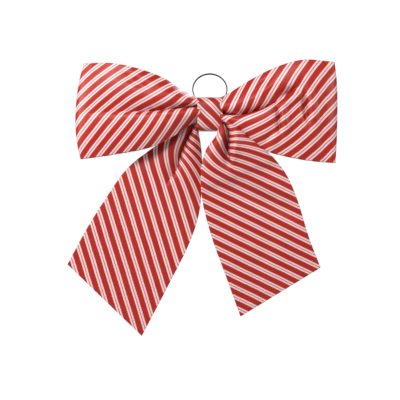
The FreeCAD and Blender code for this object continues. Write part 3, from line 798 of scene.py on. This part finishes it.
def waist_folds():
    """The loops' ribbon gathered under the knot: folds that run from side to side."""
    columns = 150
    line = meander(columns, 4, 1.6)
    height, middle, swing = 2 * 10.2, -9.3, 3.9
    rows = []
    for x in np.linspace(-KNOT_HALF + 0.4, KNOT_HALF - 0.4, 14):
        squeeze = 1 - 0.08 * math.exp(-(x / 3.0) ** 2)
        depth = middle + line[:, 1] * swing * squeeze + 0.15 * math.sin(x)
        rows.append(np.column_stack([np.full(columns, x), depth, -line[:, 0] * height * squeeze]))
    grid = np.array(rows)
    along = np.tile(grid[:, :1, 0], (1, columns))
    across = np.tile(np.linspace(RIBBON_HALF, -RIBBON_HALF, columns), (len(rows), 1))
    return ribbon_tube("WaistFolds", grid, along, across, WAIST_CLOTH)


def tails_folds():
    """The tails' ribbon gathered flat behind the waist, in soft knife pleats."""
    columns = 150
    line = meander(columns, 3, 2.1)
    high, low = 2.6, -13.5
    narrow, spread, middle, swing = 9.4, 5.0, -3.2, 0.95
    rows = []
    for z in np.linspace(high, low, 16):
        half = narrow + spread * float(ease(-z, 3.0, -low))
        depth = middle + line[:, 1] * swing
        rows.append(np.column_stack([line[:, 0] * 2 * half, depth, np.full(columns, z)]))
    grid = np.array(rows)
    along = np.tile(-grid[:, :1, 2], (1, columns))
    across = np.tile(np.linspace(-RIBBON_HALF, RIBBON_HALF, columns), (len(rows), 1))
    return ribbon_tube("TailsFolds", grid, along, across, TAILS_CLOTH)


fold_satin = striped_satin("SatinFolds", 1, 0.0)
FOLDS = (
    (waist_folds(), "waist_gather", WAIST_LENGTH),
    (tails_folds(), "tails_gather", TAILS_LENGTH),
)
for piece, node_name, length in FOLDS:
    piece.data.materials.append(fold_satin)
    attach(piece, "bow")
    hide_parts(node_name)


# ---------------------------------------------------------------- wire and thread
def sweep(paths, radius, sides=8):
    """One mesh of round strands along the given paths, with rounded ends."""
    vertices, faces = [], []
    for path in paths:
        path = np.asarray(path, float)
        tangent = np.gradient(path, axis=0)
        tangent /= np.linalg.norm(tangent, axis=1, keepdims=True)
        side = np.cross(tangent[0], (0.0, 0.0, 1.0))
        if np.linalg.norm(side) < 0.1:
            side = np.cross(tangent[0], (1.0, 0.0, 0.0))
        first = len(vertices)
        thick = np.ones(len(path))
        thick[[0, -1]] = 0.55
        for spot, run, width in zip(path, tangent, thick):
            side = side - run * np.dot(side, run)
            side /= np.linalg.norm(side)
            other = np.cross(run, side)
            for k in range(sides):
                angle = 2 * math.pi * k / sides
                vertices.append(spot + radius * width * (
                    side * math.cos(angle) + other * math.sin(angle)))
        for i in range(len(path) - 1):
            for k in range(sides):
                here, after = first + i * sides, first + (i + 1) * sides
                turn = (k + 1) % sides
                faces.append((here + k, here + turn, after + turn, after + k))
        faces.append(tuple(first + k for k in range(sides))[::-1])
        faces.append(tuple(first + (len(path) - 1) * sides + k for k in range(sides)))
    return vertices, faces


def split_ring_piece():
    """Two turns of wire lying on each other, with the step where one turn crosses to the other."""
    radius, wire, lean = 13.67, 0.46, math.radians(22.5)
    centre = np.array([0.0, 8.28, 20.53])
    up = np.array([0.0, math.sin(lean), math.cos(lean)])
    normal = np.cross((1.0, 0.0, 0.0), up)
    step_angle, gap = 0.35, 0.06
    start = math.radians(200)
    path = []
    for turn in np.linspace(0, 4 * math.pi - step_angle - gap, 420):
        layer = -1 + 2 * float(ease(turn, 2 * math.pi - step_angle, 2 * math.pi - gap))
        angle = start + turn
        path.append(centre + radius * (math.cos(angle) * np.array([1.0, 0, 0])
                                       + math.sin(angle) * up) + normal * layer * wire)
    vertices, faces = sweep([path], wire, 10)
    return mesh_object("SplitRingWire", vertices, faces)


def rounded_turn(front, rear, half, corner, count):
    """Y-Z points of a rounded rectangle."""
    middle, reach = (front + rear) / 2, (rear - front) / 2
    points = []
    for angle in np.linspace(0, 2 * math.pi, count, endpoint=False):
        c, s = math.cos(angle), math.sin(angle)
        points.append((middle + reach * math.copysign(abs(c) ** corner, c),
                       half * math.copysign(abs(s) ** corner, s)))
    return points


def waist_winding():
    """Three turns of thread that pull the waist together."""
    front, rear, half, corner, steps = -13.35, -4.0, 10.35, 0.35, 48
    first_x, pitch = -1.35, 0.9
    path = []
    for turn in range(3):
        for index, (y, z) in enumerate(rounded_turn(front, rear, half, corner, steps)):
            path.append((first_x + pitch * (turn + index / steps), y, z))
    vertices, faces = sweep([path], THREAD, 8)
    return mesh_object("WaistWinding", vertices, faces)


def closing_stitches():
    """Five slanting hand stitches in the band behind the knot."""
    spacing = 3.2
    paths = []
    for index in range(5):
        x = spacing * (index - 2)
        lean = 0.35 if index % 2 else -0.2
        path = []
        for share in np.linspace(-1, 1, 9):
            path.append((x + lean * share, 0.2 + 0.6 * share + 0.45 * (1 - share ** 4),
                         -9.5 + 1.3 * share))
        paths.append(path)
    vertices, faces = sweep(paths, STITCH, 8)
    return mesh_object("ClosingStitches", vertices, faces)


def keeper_loop():
    """A narrow ribbon folded round the ring's wire, its two ends sewn to the back of the knot."""
    line = smooth_path([(1.55, 3.4), (1.52, 5.0), (1.6, 6.8), (1.95, 8.4), (3.05, 9.35), (4.3, 8.6),
                        (4.45, 7.4), (3.5, 6.4), (2.4, 5.7), (2.0, 4.8), (1.95, 3.5)],
                       64)
    columns, half = 9, 2.1
    rows = [[(x, y, z) for x in np.linspace(-half, half, columns)] for y, z in line]
    grid = np.array(rows)
    along = np.tile(walked_length(line)[:, None], (1, columns))
    across = np.tile(np.linspace(half, -half, columns), (len(line), 1))
    return ribbon_tube("KeeperLoop", grid, along, across, KEEPER_CLOTH)


def felt_piece():
    """The felt strip on the clip's arm: rounded ends, slightly uneven thickness and edge."""
    random = np.random.default_rng(7)
    low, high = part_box("felt_pad")
    inset, half_width, corner, middle = 0.3, 4.6, 4.0, -1.3
    first, last = low[0] / MM + inset, high[0] / MM - inset
    rows, columns = ((110, 21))
    grid = []
    for x in np.linspace(first, last, rows):
        from_end = min(x - first, last - x)
        half = half_width * math.sqrt(max(0.06, 1 - max(0.0, 1 - from_end / corner) ** 2))
        half += random.normal(0, 0.03)
        depth = middle + random.normal(0, 0.012, columns)
        grid.append(np.column_stack([np.full(columns, x), depth, np.linspace(half, -half, columns)]))
    grid = np.array(grid)
    along = grid[:, :, 0]
    return ribbon_tube("FeltStrip", grid, along, grid[:, :, 2], FELT)


steel = metal("ClipSteel", (0.62, 0.62, 0.64, 1), 0.22, (1.0, 1.0, 18.0))
spring_steel = metal("SpringSteel", (0.42, 0.41, 0.40, 1), 0.3, (18.0, 1.0, 1.0))
ring_steel = metal("RingSteel", (0.05, 0.05, 0.055, 1), 0.28, (1.0, 1.0, 1.0))
felt = plain_cloth("FeltRed", (0.45, 0.02, 0.018, 1), (0.30, 0.01, 0.01, 1), 900.0, 0.0002, 0.9)
thread = plain_cloth("ThreadRed", (0.36, 0.02, 0.015, 1), (0.2, 0.008, 0.006, 1), 2500.0, 0.0001, 0.6)
keeper_cloth = plain_cloth("KeeperSatin", (0.5, 0.02, 0.015, 1), (0.4, 0.012, 0.01, 1), 1600.0,
                           0.00008, 0.45)

SMALL_PIECES = (
    (split_ring_piece(), "ring", "split_ring", ring_steel, "ring_steel"),
    (waist_winding(), "bow", "waist_thread", thread, "thread"),
    (closing_stitches(), "bow", "knot_stitches", thread, "thread"),
    (keeper_loop(), "bow", "ring_keeper", keeper_cloth, "keeper_ribbon"),
    (felt_piece(), "bow", "felt_pad", felt, "felt"),
)
for piece, body, node_name, material, slot in SMALL_PIECES:
    piece.data.materials.append(material)
    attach(piece, body)
    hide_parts(node_name)

# ---------------------------------------------------------------- materials on the CAD nodes
NODE_MATERIALS = {
    "clip_arm": steel, "clip_pin": steel, "clip_prong": steel, "clip_spring": spring_steel,
}
for node_name, material in NODE_MATERIALS.items():
    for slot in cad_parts[node_name].material_slots:
        slot.material = material

# ---------------------------------------------------------------- studio
# metres and watts
BEHIND_GLOW = 1.05          # the surround straight behind the bow
AROUND_GLOW = 0.26          # the surround everywhere else
FLOOR_RADIUS = 1.1
FLOOR_DROP = 0.165          # below the lowest point of the bow
FLOOR_STEPS = 96
AIM = (0, 0, -0.05)
# name, place, energy, size
LIGHTS = (
    ("Key", (-0.12, -0.48, 0.36), 2.5, 0.16),
    ("Fill", (0.9, -1.1, 0.2), 0.4, 0.8),
    ("SideRight", (0.62, -0.24, 0.1), 1.3, 0.2),
    ("Side", (-0.62, -0.30, 0.12), 2.9, 0.2),
    ("Back", (0.5, 1.0, 0.7), 11.0, 0.6),
)
CAMERA_DISTANCE = 1.6
CAMERA_PLACE = (-0.0079, -CAMERA_DISTANCE - 0.012, -0.06794)
VIEW_WIDTH = 0.316


def studio():
    """A round floor well below the hanging bow, a surround that is white only behind it, lamps."""
    scene = bpy.context.scene
    world = bpy.data.worlds.new("Studio")
    scene.world = world
    world.use_nodes = True
    tree = world.node_tree
    background = tree.nodes["Background"]
    place = tree.nodes.new("ShaderNodeTexCoord").outputs["Generated"]
    split = tree.nodes.new("ShaderNodeSeparateXYZ")
    tree.links.new(place, split.inputs[0])
    ramp = tree.nodes.new("ShaderNodeValToRGB")
    tree.links.new(split.outputs[1], ramp.inputs[0])
    glows = ((0.93, AROUND_GLOW), (0.975, BEHIND_GLOW))
    for mark, (position, glow) in zip(ramp.color_ramp.elements, glows):
        mark.position = position
        mark.color = (glow, glow, glow, 1)
    tree.links.new(ramp.outputs[0], background.inputs[0])
    background.inputs[1].default_value = 1.0

    floor_z = CAD_BOX[0][2] - FLOOR_DROP
    mesh = bpy.data.meshes.new("Floor")
    rim = []
    for k in range(FLOOR_STEPS):
        angle = 2 * math.pi * k / FLOOR_STEPS
        rim.append((FLOOR_RADIUS * math.cos(angle), FLOOR_RADIUS * math.sin(angle), floor_z))
    mesh.from_pydata(rim, [], [tuple(range(FLOOR_STEPS))])
    floor = bpy.data.objects.new("Floor", mesh)
    scene.collection.objects.link(floor)
    material, tree, shader = new_material("FloorPaper")
    shader.inputs["Base Color"].default_value = (0.62, 0.62, 0.62, 1)
    shader.inputs["Roughness"].default_value = 0.9
    mesh.materials.append(material)
    for label, place, energy, size in LIGHTS:
        light = bpy.data.lights.new(label, "AREA")
        light.energy = energy
        light.size = size
        lamp = bpy.data.objects.new(label, light)
        lamp.location = place
        aim = Vector(AIM) - Vector(place)
        lamp.rotation_euler = aim.to_track_quat("-Z", "Y").to_euler()
        scene.collection.objects.link(lamp)
    scene.view_settings.view_transform = "Standard"


def camera():
    """Straight in front of the bow, far away, so that the view is nearly parallel."""
    data = bpy.data.cameras.new("Camera")
    data.sensor_width = 36.0
    data.lens = data.sensor_width * CAMERA_DISTANCE / VIEW_WIDTH
    data.clip_end = 50
    holder = bpy.data.objects.new("Camera", data)
    holder.location = CAMERA_PLACE
    holder.rotation_euler = (math.radians(90), 0, 0)
    bpy.context.scene.collection.objects.link(holder)
    bpy.context.scene.camera = holder


studio()
camera()
